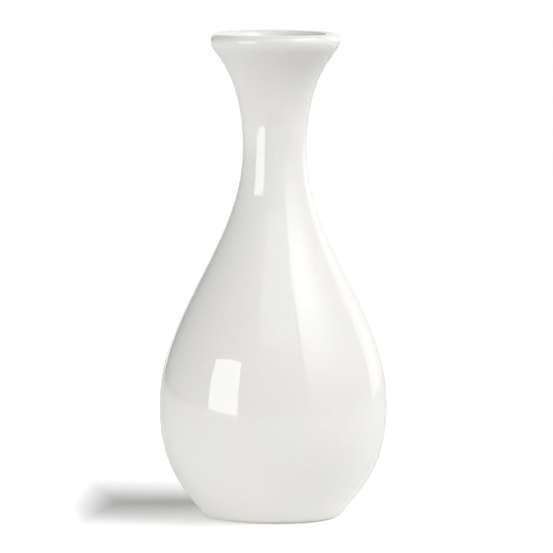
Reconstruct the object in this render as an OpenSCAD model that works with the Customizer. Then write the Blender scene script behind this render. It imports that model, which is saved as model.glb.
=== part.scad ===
// Bud vase in white glazed stoneware: a pear-shaped body, a slender neck and a flared mouth.
// Millimetres, +Z up. The origin is on the axis, on the surface that the foot stands on.
// Every piece is turned about Z: the fired clay body, and the coats of glaze fused to it.

/* [Overall] */
// Height from the standing surface to the top of the lip
height = 130; // [120:1:150]

/* [Foot] */
// Radius of the glazed wall where the glaze stops above the foot
foot_r = 18.4; // [17:0.1:20]
// Height of that glaze line above the standing surface
glaze_line_z = 0.6; // [0.4:0.1:1]
// Slope of the wall where it leaves the foot, from the horizontal
foot_slope = 48; // [40:1:60]
// Radius of the rounded outer edge of the foot
foot_edge_r = 0.5; // [0.2:0.1:0.8]
// Inner radius of the ring that the vase stands on
ring_in_r = 13.6; // [12:0.1:15]
// Radius at which the hollow under the base reaches its full height
recess_r = 11.4; // [9:0.1:11.8]
// Height of the hollow under the base
recess_z = 1.3; // [0.8:0.1:2]

/* [Belly] */
// Radius at the widest point
belly_r = 30.6; // [28:0.1:33]
// Height of the widest point
belly_z = 29.7; // [27:0.1:33]
// Fullness of the wall below the widest point
belly_low_pull = 13.8; // [10:0.1:16]
// Fullness of the wall where it leaves the foot
foot_pull = 11.6; // [8:0.1:15]
// Fullness of the wall above the widest point
belly_top_pull = 27; // [22:0.5:32]

/* [Neck] */
// Radius at the narrowest point
neck_r = 8.6; // [8:0.1:10]
// Height of the narrowest point
neck_z = 98.8; // [95:0.1:102]
// Length of the slender stretch below the narrowest point
neck_low_pull = 25.5; // [20:0.5:30]
// Length of the slender stretch above the narrowest point
neck_top_pull = 22.5; // [15:0.5:24]

/* [Mouth] */
// Radius at the widest point of the lip
mouth_r = 17.5; // [16:0.1:19]
// Radius of the rounded lip, which is half its thickness
lip_r = 1.8; // [1.7:0.1:2.2]
// Fullness of the flare where it turns up into the lip
lip_pull = 4.1; // [3.5:0.1:6]
// Slope of the funnel inside where it leaves the lip, from the vertical
funnel_slope = 28; // [20:1:34]
// Fullness of the funnel where it leaves the lip
funnel_pull = 7.8; // [6:0.1:10]
// Length of the straight bore between the narrowest point and the funnel
bore_pull = 18.5; // [14:0.5:20]

/* [Wall] */
// Thickness of the wall, glaze included
wall = 3.3; // [3:0.1:3.6]
// Thickness of the floor over the hollow, glaze included
floor_t = 3.6; // [3:0.1:5]
// Radius of the flat part of the floor inside
floor_flat_r = 6; // [3:0.5:8]
// Thickness of each coat of glaze
glaze = 0.3; // [0.2:0.05:0.4]

/* [Hidden] */

low_steps = 24;       // facets of the profile from the foot to the belly
mid_steps = 44;       // from the belly to the neck
top_steps = 26;       // from the neck to the lip
lip_steps = 10;       // over each half of the lip
turn_steps = 10;      // along each small curve of the foot and the floor
floor_join = 0.3;     // share of the low curve at which the floor's curve leaves the wall
floor_pull = 7;       // fullness of the curve from the floor to the wall
recess_join = 0.4;    // share of the recess's cove at which its glaze starts
$fn = 128;

clay_colour = "linen";
glaze_colour = "white";

up = [0, 1];
floor_z = recess_z + floor_t;

// ---- curves: each is a list of four control points in [radius, height] ----

function heading(a) = [cos(a), sin(a)];
function unit(v) = v / norm(v);
function right_of(v) = [v.y, -v.x];
// Even shares of a curve from start to 1, and the same without the first of them
function shares(n, start = 0) = [for (i = [0:n]) start + (1 - start) * i / n];
function later_shares(n, start = 0) = [for (i = [1:n]) start + (1 - start) * i / n];
function reversed(list) = [for (i = [len(list) - 1:-1:0]) list[i]];

function bezier(p, t) =
    pow(1 - t, 3) * p[0] + 3 * pow(1 - t, 2) * t * p[1] + 3 * (1 - t) * t * t * p[2] + pow(t, 3) * p[3];
function tangent(p, t) =
    unit(pow(1 - t, 2) * (p[1] - p[0]) + 2 * (1 - t) * t * (p[2] - p[1]) + t * t * (p[3] - p[2]));
// The point at share t of a curve, moved by depth to the left of the way that the curve runs
function sunk(p, t, depth) = bezier(p, t) - depth * right_of(tangent(p, t));

function arc(centre, r, from, to, n) = [for (t = shares(n)) centre + r * heading(from + (to - from) * t)];

foot_start = [foot_r, glaze_line_z];
belly = [belly_r, belly_z];
neck = [neck_r, neck_z];
lip_side = [mouth_r, height - lip_r];
lip_centre = lip_side - [lip_r, 0];

// The outside: from the foot to the belly, from the belly to the neck, from the neck to the lip
low_curve = [foot_start, foot_start + foot_pull * heading(foot_slope), belly - belly_low_pull * up, belly];
mid_curve = [belly, belly + belly_top_pull * up, neck - neck_low_pull * up, neck];
top_curve = [neck, neck + neck_top_pull * up, lip_side - lip_pull * up, lip_side];

// The funnel inside the flare, from the bore of the neck to the lip
bore = neck - [wall, 0];
funnel_top = lip_centre + lip_r * heading(180 - funnel_slope);
funnel_curve = [
    bore, bore + bore_pull * up, funnel_top - funnel_pull * heading(90 - funnel_slope), funnel_top
];

// The floor's curve starts flat and runs into the inner face of the wall
wall_join = sunk(low_curve, floor_join, wall);
floor_curve = [
    [floor_flat_r, floor_z],
    [floor_flat_r + floor_pull, floor_z],
    wall_join - floor_pull * tangent(low_curve, floor_join),
    wall_join
];

// The cove under the base runs from the standing ring up to the recess, flat at both ends
cove_half = (ring_in_r - recess_r) / 2;
cove_curve = [
    [ring_in_r, 0],
    [ring_in_r - cove_half, 0],
    [recess_r + cove_half, recess_z + glaze],
    [recess_r, recess_z + glaze]
];

// ---- faces of the pieces, as runs of points from the foot to the lip ----

// The outer face at a depth under the glazed surface
function outer_face(depth) = concat(
    [for (t = shares(low_steps)) sunk(low_curve, t, depth)],
    [for (t = later_shares(mid_steps)) sunk(mid_curve, t, depth)],
    [for (t = later_shares(top_steps)) sunk(top_curve, t, depth)]
);

// The inner face at a depth under the glazed surface
function inner_face(depth) = concat(
    [for (t = shares(turn_steps)) sunk(floor_curve, t, -depth)],
    [for (t = later_shares(low_steps, floor_join)) sunk(low_curve, t, wall - depth)],
    [for (t = later_shares(mid_steps)) sunk(mid_curve, t, wall - depth)],
    [for (t = later_shares(top_steps)) sunk(funnel_curve, t, -depth)]
);

// The lip between the wall and its crest, outside and inside, without the point at either end
function lip_turn(depth, from) =
    let (whole = arc(lip_centre, lip_r - depth, from, 90, lip_steps)) [for (i = [1:lip_steps - 1]) whole[i]];
function lip_outside(depth) = lip_turn(depth, 0);
function lip_inside(depth) = lip_turn(depth, 180 - funnel_slope);
function lip_crest(depth) = [lip_centre + (lip_r - depth) * up];

// The bare foot: straight down from the glaze line, round the edge to the standing face
foot_line = sunk(low_curve, 0, glaze);
foot_sharp_r = foot_line.x - foot_line.y / tan(foot_slope);
foot_edge_centre = [foot_sharp_r - foot_edge_r * tan(foot_slope / 2), foot_edge_r];
foot_edge = arc(foot_edge_centre, foot_edge_r, -90, foot_slope - 90, turn_steps);

// ---- the pieces ----

// Fired clay: wall, floor and foot ring in one, bare only at the foot
module clay_body()
    color(clay_colour)
        rotate_extrude()
            polygon(concat(
                [[0, recess_z + glaze]],
                reversed([for (t = shares(turn_steps)) bezier(cove_curve, t)]),
                foot_edge,
                outer_face(glaze),
                lip_outside(glaze),
                lip_crest(glaze),
                reversed(lip_inside(glaze)),
                reversed(inner_face(glaze)),
                [[0, floor_z - glaze]]
            ));

// Sprayed coat: the whole outside, from the glaze line at the foot to the top of the lip
module outer_glaze()
    color(glaze_colour)
        rotate_extrude()
            polygon(concat(
                outer_face(0),
                lip_outside(0),
                lip_crest(0),
                lip_crest(glaze),
                reversed(lip_outside(glaze)),
                reversed(outer_face(glaze))
            ));

// Poured coat: the whole inside, from the floor to the top of the lip
module liner_glaze()
    color(glaze_colour)
        rotate_extrude()
            polygon(concat(
                [[0, floor_z - glaze]],
                inner_face(glaze),
                lip_inside(glaze),
                lip_crest(glaze),
                lip_crest(0),
                reversed(lip_inside(0)),
                reversed(inner_face(0)),
                [[0, floor_z]]
            ));

// Coat in the hollow under the base, inside the bare standing ring
module base_glaze()
    color(glaze_colour)
        rotate_extrude()
            polygon(concat(
                [[0, recess_z]],
                reversed([for (t = shares(turn_steps, recess_join)) sunk(cove_curve, t, glaze)]),
                [for (t = shares(turn_steps, recess_join)) bezier(cove_curve, t)],
                [[0, recess_z + glaze]]
            ));

clay_body();
outer_glaze();
liner_glaze();
base_glaze();
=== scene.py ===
# Bud vase in white glazed ceramic: smooth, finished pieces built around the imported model.
import math
import bpy
import bmesh
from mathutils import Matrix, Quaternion, Vector, noise
from mathutils.geometry import interpolate_bezier


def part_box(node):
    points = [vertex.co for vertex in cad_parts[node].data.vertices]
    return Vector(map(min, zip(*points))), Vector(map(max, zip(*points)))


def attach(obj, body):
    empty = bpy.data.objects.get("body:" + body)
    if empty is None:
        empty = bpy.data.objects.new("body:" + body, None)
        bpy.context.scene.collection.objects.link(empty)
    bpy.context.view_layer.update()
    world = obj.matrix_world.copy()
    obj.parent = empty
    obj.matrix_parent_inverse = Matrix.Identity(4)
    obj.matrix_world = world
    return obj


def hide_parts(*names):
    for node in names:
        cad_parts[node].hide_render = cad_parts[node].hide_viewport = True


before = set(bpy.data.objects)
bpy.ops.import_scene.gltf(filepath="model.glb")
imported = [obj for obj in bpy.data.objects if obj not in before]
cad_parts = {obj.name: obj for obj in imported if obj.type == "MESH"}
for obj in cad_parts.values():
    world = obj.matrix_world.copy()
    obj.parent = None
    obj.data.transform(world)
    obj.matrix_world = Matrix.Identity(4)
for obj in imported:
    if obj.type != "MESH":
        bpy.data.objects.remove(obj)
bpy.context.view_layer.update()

scene = bpy.context.scene
mm = 0.001
up = Vector((0, 1))
turnSteps = 256  # facets round the vase
tiny = 1e-7  # metres, less than any gap that is meant to be there

outerLow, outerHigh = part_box("outer_glaze")
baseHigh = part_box("base_glaze")[1]
glazeDepth = 0.3 * mm  # of every coat

# the whole vase's outline, with the glaze on; angles are in degrees
shape = dict(
    footR=18.4 * mm, footZ=outerLow.z, footSlope=48, footPull=11.6 * mm,
    bellyR=outerHigh.x, bellyZ=29.7 * mm, bellyLowPull=13.8 * mm, bellyTopPull=27 * mm,
    neckR=8.6 * mm, neckZ=98.8 * mm, neckLowPull=25.5 * mm, neckTopPull=22.5 * mm,
    mouthR=17.5 * mm, topZ=outerHigh.z, lipR=1.8 * mm, lipPull=4.1 * mm,
    funnelSlope=28, funnelPull=7.8 * mm, borePull=18.5 * mm,
    wall=3.3 * mm, floorZ=4.9 * mm, floorFlatR=6 * mm, floorPull=7 * mm, floorJoin=0.3,
    ringInR=13.6 * mm, recessR=11.4 * mm, recessZ=baseHigh.z - glazeDepth, footEdgeR=0.5 * mm,
)


def heading(degrees):
    return Vector((math.cos(math.radians(degrees)), math.sin(math.radians(degrees))))


def stretch(start, startPull, endPull, end, steps):
    return interpolate_bezier(start, start + startPull, end - endPull, end, steps + 1)


def arc(centre, radius, fromAngle, toAngle, steps):
    turn = (toAngle - fromAngle) / steps
    return [centre + radius * heading(fromAngle + turn * i) for i in range(steps + 1)]


def straight(start, end, steps):
    return [start + (end - start) * i / steps for i in range(steps + 1)]


def chain(*stretches):
    # each stretch starts where the one before it ends
    points = list(stretches[0])
    for nextStretch in stretches[1:]:
        points += nextStretch[1:]
    return points


def leftOf(points):
    # unit normals on the left of the way the outline runs
    normals = []
    for i in range(len(points)):
        along = (points[min(i + 1, len(points) - 1)] - points[max(i - 1, 0)]).normalized()
        normals.append(Vector((-along.y, along.x)))
    return normals


def sunk(points, depth):
    return [point + depth * left for point, left in zip(points, leftOf(points))]


def roundEnd(start, end, steps):
    # the half circle that closes the edge of a coat, without its two ends
    middle = (start + end) / 2
    side = start - middle
    angle = math.degrees(math.atan2(side.y, side.x))
    return arc(middle, side.length, angle, angle + 180, steps)[1:-1]


# the outside runs from the foot up to the crest of the lip
def outsideOutline(low, mid, flare, lip):
    foot = Vector((shape["footR"], shape["footZ"]))
    belly = Vector((shape["bellyR"], shape["bellyZ"]))
    neck = Vector((shape["neckR"], shape["neckZ"]))
    lipSide = Vector((shape["mouthR"], shape["topZ"] - shape["lipR"]))
    footPull = shape["footPull"] * heading(shape["footSlope"])
    return chain(
        stretch(foot, footPull, shape["bellyLowPull"] * up, belly, low),
        stretch(belly, shape["bellyTopPull"] * up, shape["neckLowPull"] * up, neck, mid),
        stretch(neck, shape["neckTopPull"] * up, shape["lipPull"] * up, lipSide, flare),
        arc(lipSide - Vector((shape["lipR"], 0)), shape["lipR"], 0, 90, lip),
    )


# the inside runs from the middle of the floor up to the crest
def insideOutline(low, mid, flare, lip, floor):
    outside = outsideOutline(low, mid, flare, lip)
    join = round(low * shape["floorJoin"])
    wall = sunk(outside[:low + mid + 1], shape["wall"])[join:]
    wayUp = (wall[1] - wall[0]).normalized()
    bore = Vector((shape["neckR"] - shape["wall"], shape["neckZ"]))
    lipCentre = outside[-1] - shape["lipR"] * up
    funnelTop = lipCentre + shape["lipR"] * heading(180 - shape["funnelSlope"])
    funnelPull = shape["funnelPull"] * heading(90 - shape["funnelSlope"])
    middle = Vector((0, shape["floorZ"]))
    flatEdge = Vector((shape["floorFlatR"], shape["floorZ"]))
    return chain(
        straight(middle, flatEdge, floor),
        stretch(flatEdge, Vector((shape["floorPull"], 0)), shape["floorPull"] * wayUp, wall[0], floor),
        wall,
        stretch(bore, shape["borePull"] * up, funnelPull, funnelTop, flare),
        arc(lipCentre, shape["lipR"], 180 - shape["funnelSlope"], 90, lip),
    )


# the cove under the base runs from the standing ring in to the flat of the hollow
def coveOutline(steps):
    ring = Vector((shape["ringInR"], 0))
    flat = Vector((shape["recessR"], shape["recessZ"] + glazeDepth))
    half = Vector(((shape["ringInR"] - shape["recessR"]) / 2, 0))
    return stretch(ring, -half, -half, flat, steps)


def turned(name, skin, back, relief):
    # skin is the face that shows, back is hidden; relief moves the skin in or out at each place
    bm = bmesh.new()
    outR = bm.verts.layers.float.new("outR")
    outZ = bm.verts.layers.float.new("outZ")
    ring = []
    for point, left in zip(skin, leftOf(skin)):
        vert = bm.verts.new((point.x, 0, point.y))
        vert[outR], vert[outZ] = -left.x, -left.y
        ring.append(vert)
    for point in back:
        ring.append(bm.verts.new((point.x, 0, point.y)))
    # closed all round, except where both ends of a step lie on the axis
    pairs = [pair for pair in zip(ring, ring[1:] + ring[:1]) if max(pair[0].co.x, pair[1].co.x) > tiny]
    edges = [bm.edges.new(pair) for pair in pairs]
    bmesh.ops.spin(bm, geom=ring + edges, cent=(0, 0, 0), axis=(0, 0, 1), angle=2 * math.pi,
                   steps=turnSteps, use_merge=True)
    bmesh.ops.remove_doubles(bm, verts=bm.verts, dist=tiny)
    bmesh.ops.recalc_face_normals(bm, faces=bm.faces)
    for vert in bm.verts:
        out = Vector((vert[outR], 0, vert[outZ]))
        radius = math.hypot(vert.co.x, vert.co.y)
        if out.length:  # the hidden back has none
            if radius > tiny:
                out = Vector((vert.co.x * out.x / radius, vert.co.y * out.x / radius, out.z))
            vert.co += out * relief(vert.co)
    for face in bm.faces:
        face.smooth = True
    piece = placed(name, bm)
    print("turned", name, len(piece.data.polygons), "faces")
    return piece


def placed(name, bm):
    mesh = bpy.data.meshes.new(name)
    bm.to_mesh(mesh)
    bm.free()
    piece = bpy.data.objects.new(name, mesh)
    scene.collection.objects.link(piece)
    return piece


def finished(piece, node, material):
    piece.data.materials.append(material)
    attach(piece, "root")
    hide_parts(node)


def newMaterial(name):
    material = bpy.data.materials.new(name)
    material.use_nodes = True
    nodes = material.node_tree.nodes
    return material, nodes, material.node_tree.links, nodes["Principled BSDF"]


def addNode(nodes, kind, **settings):
    # a setting is the node's own, or the value of its input of that name
    node = nodes.new(kind)
    for key, value in settings.items():
        if hasattr(node, key):
            setattr(node, key, value)
        else:
            node.inputs[key.replace("_", " ")].default_value = value
    return node


def placeOf(nodes):
    return nodes.new("ShaderNodeTexCoord").outputs["Object"]


def noiseOf(nodes, links, size, detail=2.0, rough=0.5):
    # size is the size of the blotches in metres
    node = addNode(nodes, "ShaderNodeTexNoise", Scale=1 / size, Detail=detail, Roughness=rough)
    links.new(placeOf(nodes), node.inputs["Vector"])
    return node.outputs["Fac"]


def rangeOf(nodes, links, value, low, high, toLow, toHigh):
    node = addNode(nodes, "ShaderNodeMapRange", From_Min=low, From_Max=high, To_Min=toLow, To_Max=toHigh)
    links.new(value, node.inputs["Value"])
    return node.outputs["Result"]


def mixOf(nodes, links, share, first, second):
    node = addNode(nodes, "ShaderNodeMix", data_type="RGBA")
    links.new(share, node.inputs["Factor"])
    for socket, colour in ((node.inputs[6], first), (node.inputs[7], second)):  # the two colour inputs
        if isinstance(colour, tuple):
            socket.default_value = (*colour, 1)
        else:
            links.new(colour, socket)
    return node.outputs[2]


def bumpOf(nodes, links, height, strength, depth):
    node = addNode(nodes, "ShaderNodeBump", Strength=strength, Distance=depth)
    links.new(height, node.inputs["Height"])
    return node.outputs["Normal"]


# the glaze's finish: clouds and mottles of slightly different white, and painted shade under the lip, a
# greyer band up the flare
glazeLook = dict(
    white=(0.911, 0.898, 0.867), cooler=(0.891, 0.885, 0.859), cloudSize=16 * mm, cloudRange=(0.35, 0.65),
    mottled=(0.885, 0.875, 0.843), mottleSize=1.8 * mm, mottleRange=(0.45, 0.75), mottleDetail=(3.0, 0.6),
    underLipShade=(0.775, 0.766, 0.735), underLipShadeRange=(104 * mm, 123 * mm), lipRange=(125.5 * mm, 128.5 * mm),
    gloss=(0.03, 0.045), ior=1.5,
    skinSize=1.1 * mm, skinDetail=1.0, skinStrength=0.02, skinDepth=0.1 * mm,
)


def whiteGlaze():
    material, nodes, links, shader = newMaterial("whiteGlaze")
    look = glazeLook
    clouds = rangeOf(nodes, links, noiseOf(nodes, links, look["cloudSize"]), *look["cloudRange"], 0, 1)
    even = mixOf(nodes, links, clouds, look["white"], look["cooler"])
    blotches = noiseOf(nodes, links, look["mottleSize"], *look["mottleDetail"])
    mottle = rangeOf(nodes, links, blotches, *look["mottleRange"], 0, 1)
    full = mixOf(nodes, links, mottle, even, look["mottled"])
    # painted shade under the lip: the white turns greyer up the flare and is full again on the lip
    height = nodes.new("ShaderNodeSeparateXYZ")
    links.new(placeOf(nodes), height.inputs["Vector"])
    flare = rangeOf(nodes, links, height.outputs["Z"], *look["underLipShadeRange"], 0, 1)
    underLipShadeShare = rangeOf(nodes, links, height.outputs["Z"], *look["lipRange"], 1, 0)
    links.new(flare, underLipShadeShare.node.inputs["To Min"])
    links.new(mixOf(nodes, links, underLipShadeShare, full, look["underLipShade"]), shader.inputs["Base Color"])
    links.new(rangeOf(nodes, links, clouds, 0, 1, *look["gloss"]), shader.inputs["Roughness"])
    skin = noiseOf(nodes, links, look["skinSize"], look["skinDetail"])
    links.new(bumpOf(nodes, links, skin, look["skinStrength"], look["skinDepth"]), shader.inputs["Normal"])
    shader.inputs["IOR"].default_value = look["ior"]
    return material


clayLook = dict(
    light=(0.80, 0.785, 0.74), dark=(0.70, 0.685, 0.64), rough=0.75,
    grainSize=0.5 * mm, grainDetail=(4.0, 0.6), grainStrength=0.4, grainDepth=0.1 * mm,
)


def bareClay():
    material, nodes, links, shader = newMaterial("bareClay")
    look = clayLook
    grain = noiseOf(nodes, links, look["grainSize"], *look["grainDetail"])
    links.new(mixOf(nodes, links, grain, look["light"], look["dark"]), shader.inputs["Base Color"])
    links.new(bumpOf(nodes, links, grain, look["grainStrength"], look["grainDepth"]), shader.inputs["Normal"])
    shader.inputs["Roughness"].default_value = look["rough"]
    return material


glazeFinish = whiteGlaze()
clayFinish = bareClay()
print("finishes made: white glaze and bare clay")

# the melted glaze's slow waves, which bend the edges of what it mirrors and calm down towards the lip
ripple = dict(size=9 * mm, depth=0.02 * mm, fineSize=3.5 * mm, fineDepth=0.005 * mm, seed=4.7,
              calmZ=126 * mm, calmOver=20 * mm, lipShare=0.25)


def glazeRipple(place):
    slow = noise.noise(place / ripple["size"] + Vector((ripple["seed"], 0, 0)))
    fast = noise.noise(place / ripple["fineSize"] - Vector((0, ripple["seed"], 0)))
    calm = max(ripple["lipShare"], min(1, (ripple["calmZ"] - place.z) / ripple["calmOver"]))
    return (slow * ripple["depth"] + fast * ripple["fineDepth"]) * calm


# steps are those of the low, middle, flare and lip stretches, then of the floor
clayShape = dict(backSteps=(10, 21, 12, 5), insideSteps=(10, 20, 12, 5, 5), coveSteps=20, ringSteps=12,
                 edgeSteps=10, gap=0.02 * mm, grainSize=1.6 * mm, grainDepth=0.02 * mm)


def clayGrain(place):
    # trimmed clay is a little uneven, and the relief only goes inward from the standing face
    share = (1 + noise.noise(place / clayShape["grainSize"])) / 2
    return -share * clayShape["grainDepth"]


def clayBody():
    # only the foot and the start of the cove show; a small gap keeps the wall clear of its coats
    hidden = glazeDepth + clayShape["gap"]
    foot = sunk(outsideOutline(*clayShape["backSteps"]), glazeDepth)[0]
    sharpR = foot.x - foot.y / math.tan(math.radians(shape["footSlope"]))
    edgeR = shape["footEdgeR"]
    edgeCentre = Vector((sharpR - edgeR * math.tan(math.radians(shape["footSlope"] / 2)), edgeR))
    cove = coveOutline(clayShape["coveSteps"])[::-1]
    ring = straight(cove[-1], Vector((edgeCentre.x, 0)), clayShape["ringSteps"])
    edge = arc(edgeCentre, edgeR, -90, shape["footSlope"] - 90, clayShape["edgeSteps"])
    skin = [Vector((0, cove[0].y))] + chain(cove, ring, edge)
    outer = sunk(outsideOutline(*clayShape["backSteps"]), hidden)
    inner = sunk(insideOutline(*clayShape["insideSteps"]), -hidden)[::-1]
    inner[-1].x = 0
    return turned("clayBody", skin, outer + inner[1:], clayGrain)


outerShape = dict(steps=(40, 84, 50, 20), backSteps=(10, 21, 12, 5), edgeSteps=8,
                  bead=0.06 * mm, beadZ=1.3 * mm, beadSpread=0.7 * mm)


def outerRipple(place):
    # the coat gathers in a faint bead just above the line where it stops at the foot
    gather = math.exp(-((place.z - outerShape["beadZ"]) / outerShape["beadSpread"]) ** 2)
    return glazeRipple(place) + gather * outerShape["bead"]


def outerCoat():
    back = sunk(outsideOutline(*outerShape["backSteps"]), glazeDepth)
    outside = outsideOutline(*outerShape["steps"])
    skin = roundEnd(back[0], outside[0], outerShape["edgeSteps"]) + outside
    return turned("outerGlaze", skin, back[::-1], outerRipple)


linerShape = dict(steps=(20, 60, 36, 20, 10), backSteps=(10, 20, 12, 5, 5))


def linerCoat():
    skin = insideOutline(*linerShape["steps"])[::-1]
    back = sunk(insideOutline(*linerShape["backSteps"]), -glazeDepth)
    back[0].x = 0
    return turned("linerGlaze", skin, back, glazeRipple)


baseShape = dict(coveSteps=20, coveStart=8, flatSteps=6, edgeSteps=8)


def baseCoat():
    # the glaze starts part of the way up the cove and covers the flat of the hollow
    back = coveOutline(baseShape["coveSteps"])[baseShape["coveStart"]:]
    face = sunk(back, glazeDepth)[::-1]
    flat = straight(Vector((0, face[0].y)), face[0], baseShape["flatSteps"])
    skin = chain(flat, face) + roundEnd(face[-1], back[0], baseShape["edgeSteps"])
    return turned("baseGlaze", skin, back + [Vector((0, back[-1].y))], glazeRipple)


finished(clayBody(), "clay_body", clayFinish)
finished(outerCoat(), "outer_glaze", glazeFinish)
finished(linerCoat(), "liner_glaze", glazeFinish)
finished(baseCoat(), "base_glaze", glazeFinish)

# the floor: for the camera it glows white, painted light, except in a soft band where its real shadow shows,
# so the band's place and fade paint the outline of the visible shadow; for all other rays it has a faint
# painted glow
floorLook = dict(
    size=(2.2, 1.475), front=-0.275, colour=(0.72, 0.72, 0.712), rough=0.6, glow=0.23,
    shadowPlace=(-20 * mm, 27 * mm, 0), shadowReach=(34 * mm, 110 * mm, 1),
    endFade=(0.68, 1.26), sideFade=(0.03, 1),
)


def paleFloor():
    material, nodes, links, shader = newMaterial("paleFloor")
    look = floorLook
    shader.inputs["Base Color"].default_value = (*look["colour"], 1)
    shader.inputs["Roughness"].default_value = look["rough"]
    shader.inputs["Emission Color"].default_value = (1, 1, 1, 1)
    fromShadow = addNode(nodes, "ShaderNodeMapping", vector_type="TEXTURE",
                         Location=look["shadowPlace"], Scale=look["shadowReach"])
    links.new(placeOf(nodes), fromShadow.inputs["Vector"])
    sides = addNode(nodes, "ShaderNodeVectorMath", operation="ABSOLUTE")
    links.new(fromShadow.outputs["Vector"], sides.inputs[0])
    apart = nodes.new("ShaderNodeSeparateXYZ")
    links.new(sides.outputs["Vector"], apart.inputs["Vector"])
    burnt = addNode(nodes, "ShaderNodeMath", operation="MAXIMUM")
    links.new(rangeOf(nodes, links, apart.outputs["X"], *look["endFade"], 0, 1), burnt.inputs[0])
    links.new(rangeOf(nodes, links, apart.outputs["Y"], *look["sideFade"], 0, 1), burnt.inputs[1])
    # for the camera the floor glows white outside the shadow band, painted light; every other ray gets the
    # faint painted glow
    seen = nodes.new("ShaderNodeLightPath").outputs["Is Camera Ray"]
    glow = rangeOf(nodes, links, seen, 0, 1, look["glow"], 1)
    links.new(burnt.outputs[0], glow.node.inputs["To Max"])
    links.new(glow, shader.inputs["Emission Strength"])
    width, depth = look["size"]
    bm = bmesh.new()
    bmesh.ops.create_grid(bm, x_segments=1, y_segments=1, size=0.5)  # one metre square
    bmesh.ops.scale(bm, verts=bm.verts, vec=(width, depth, 1))
    bmesh.ops.translate(bm, verts=bm.verts, vec=(0, look["front"] + depth / 2, 0))
    floor = placed("floor", bm)
    floor.data.materials.append(material)


paleFloor()
print("floor laid")

# upright panels, with the vase on the left of the way from start to end; along and upward are stops
# of brightness over the panel's length and height
softboxes = dict(
    leftBox=dict(start=(-0.905, -0.375), end=(-0.484, -0.68), low=-0.1, high=0.42, power=4.3),
    rightScreen=dict(start=(0.6, -0.86), end=(0.6, 0.286), low=-0.05, high=1.45, power=27.8,
                     along=((0, 0.55), (0.45, 1.08), (0.6, 1.0), (0.78, 0.5), (1, 0.25)),
                     upward=((0, 0.02), (0.2, 0.26), (0.4, 0.65), (0.6, 1))),
    backdrop=dict(start=(2.11, 1.15), end=(-0.54, 1.15), low=-0.04, high=1.7, power=17.3,
                  along=((0, 1.15), (0.38, 1.15), (0.5, 0.72), (0.74, 0.72), (0.9, 1.12)),
                  upward=((0, 1), (1, 1))),
    leftWall=dict(start=(-0.9, 0.9), end=(-0.9, -0.35), low=-0.05, high=1.0, power=0.5),
)
overheads = dict(
    topFront=dict(place=(0.1, -0.9, 1.0), width=0.9, depth=0.6, power=1.6),
    top=dict(place=(0.15, 0.1, 1.2), width=0.8, depth=0.8, power=0.6),
)
overheadAim = Vector((0, 0, 0.05))  # low in the belly


def panel(name, place, facing, width, height, power):
    light = bpy.data.lights.new(name, "AREA")
    light.shape = "RECTANGLE"
    light.size, light.size_y = width, height
    light.energy = power
    lamp = bpy.data.objects.new(name, light)
    lamp.location = place
    lamp.rotation_euler = facing.to_track_quat("-Z", "Y").to_euler()
    lamp.visible_camera = False
    scene.collection.objects.link(lamp)
    return light


def shaded(light, along, upward):
    light.use_nodes = True
    nodes, links = light.node_tree.nodes, light.node_tree.links
    place = nodes.new("ShaderNodeSeparateXYZ")
    links.new(nodes.new("ShaderNodeNewGeometry").outputs["Parametric"], place.inputs["Vector"])
    both = addNode(nodes, "ShaderNodeMath", operation="MULTIPLY")
    for axis, stops, socket in zip("XY", (along, upward), both.inputs):
        ramp = nodes.new("ShaderNodeValToRGB")
        elements = ramp.color_ramp.elements
        while len(elements) < len(stops):
            elements.new(0.5)  # moved to its place just below
        for element, (position, value) in zip(elements, stops):
            element.position = position
            element.color = (value, value, value, 1)
        links.new(place.outputs[axis], ramp.inputs["Fac"])
        links.new(ramp.outputs["Color"], socket)
    links.new(both.outputs[0], nodes["Emission"].inputs["Strength"])


def softbox(name, start, end, low, high, power, along=None, upward=None):
    start, end = Vector((*start, 0)), Vector((*end, 0))
    middle = (start + end) / 2 + Vector((0, 0, (low + high) / 2))
    inward = Vector((0, 0, 1)).cross(end - start)
    light = panel(name, middle, inward, (end - start).length, high - low, power)
    if along:
        shaded(light, along, upward)


def overhead(name, place, width, depth, power):
    panel(name, place, overheadAim - Vector(place), width, depth, power)


for name, box in softboxes.items():
    softbox(name, **box)
for name, box in overheads.items():
    overhead(name, **box)
print("lights hung:", ", ".join([*softboxes, *overheads]))


def whiteRoom():
    # dark for every ray but the camera's, which sees plain white
    world = bpy.data.worlds.new("room")
    world.use_nodes = True
    nodes, links = world.node_tree.nodes, world.node_tree.links
    dark = nodes["Background"]
    dark.inputs["Color"].default_value = (0, 0, 0, 1)
    white = addNode(nodes, "ShaderNodeBackground", Color=(1, 1, 1, 1))
    mix = nodes.new("ShaderNodeMixShader")
    links.new(nodes.new("ShaderNodeLightPath").outputs["Is Camera Ray"], mix.inputs["Fac"])
    links.new(dark.outputs["Background"], mix.inputs[1])
    links.new(white.outputs["Background"], mix.inputs[2])
    links.new(mix.outputs["Shader"], nodes["World Output"].inputs["Surface"])
    scene.world = world


whiteRoom()
scene.view_settings.view_transform = "Standard"

# the camera: metres, millimetres of lens and film, and degrees of roll
view = dict(distance=1.7186, height=0.22324, aimHeight=0.065, lens=418.9, film=36,
            shiftX=0.0048, shiftY=-0.0028, roll=0.3, nearest=0.1, furthest=20)


def cameraEye():
    eye = bpy.data.cameras.new("eye")
    eye.lens = view["lens"]
    eye.sensor_width = view["film"]
    eye.shift_x, eye.shift_y = view["shiftX"], view["shiftY"]
    eye.clip_start, eye.clip_end = view["nearest"], view["furthest"]
    stand = bpy.data.objects.new("eye", eye)
    stand.location = (0, -view["distance"], view["height"])
    level = (Vector((0, 0, view["aimHeight"])) - stand.location).to_track_quat("-Z", "Y")
    stand.rotation_euler = (level @ Quaternion((0, 0, 1), math.radians(view["roll"]))).to_euler()
    scene.collection.objects.link(stand)
    scene.camera = stand


cameraEye()
print("camera set")
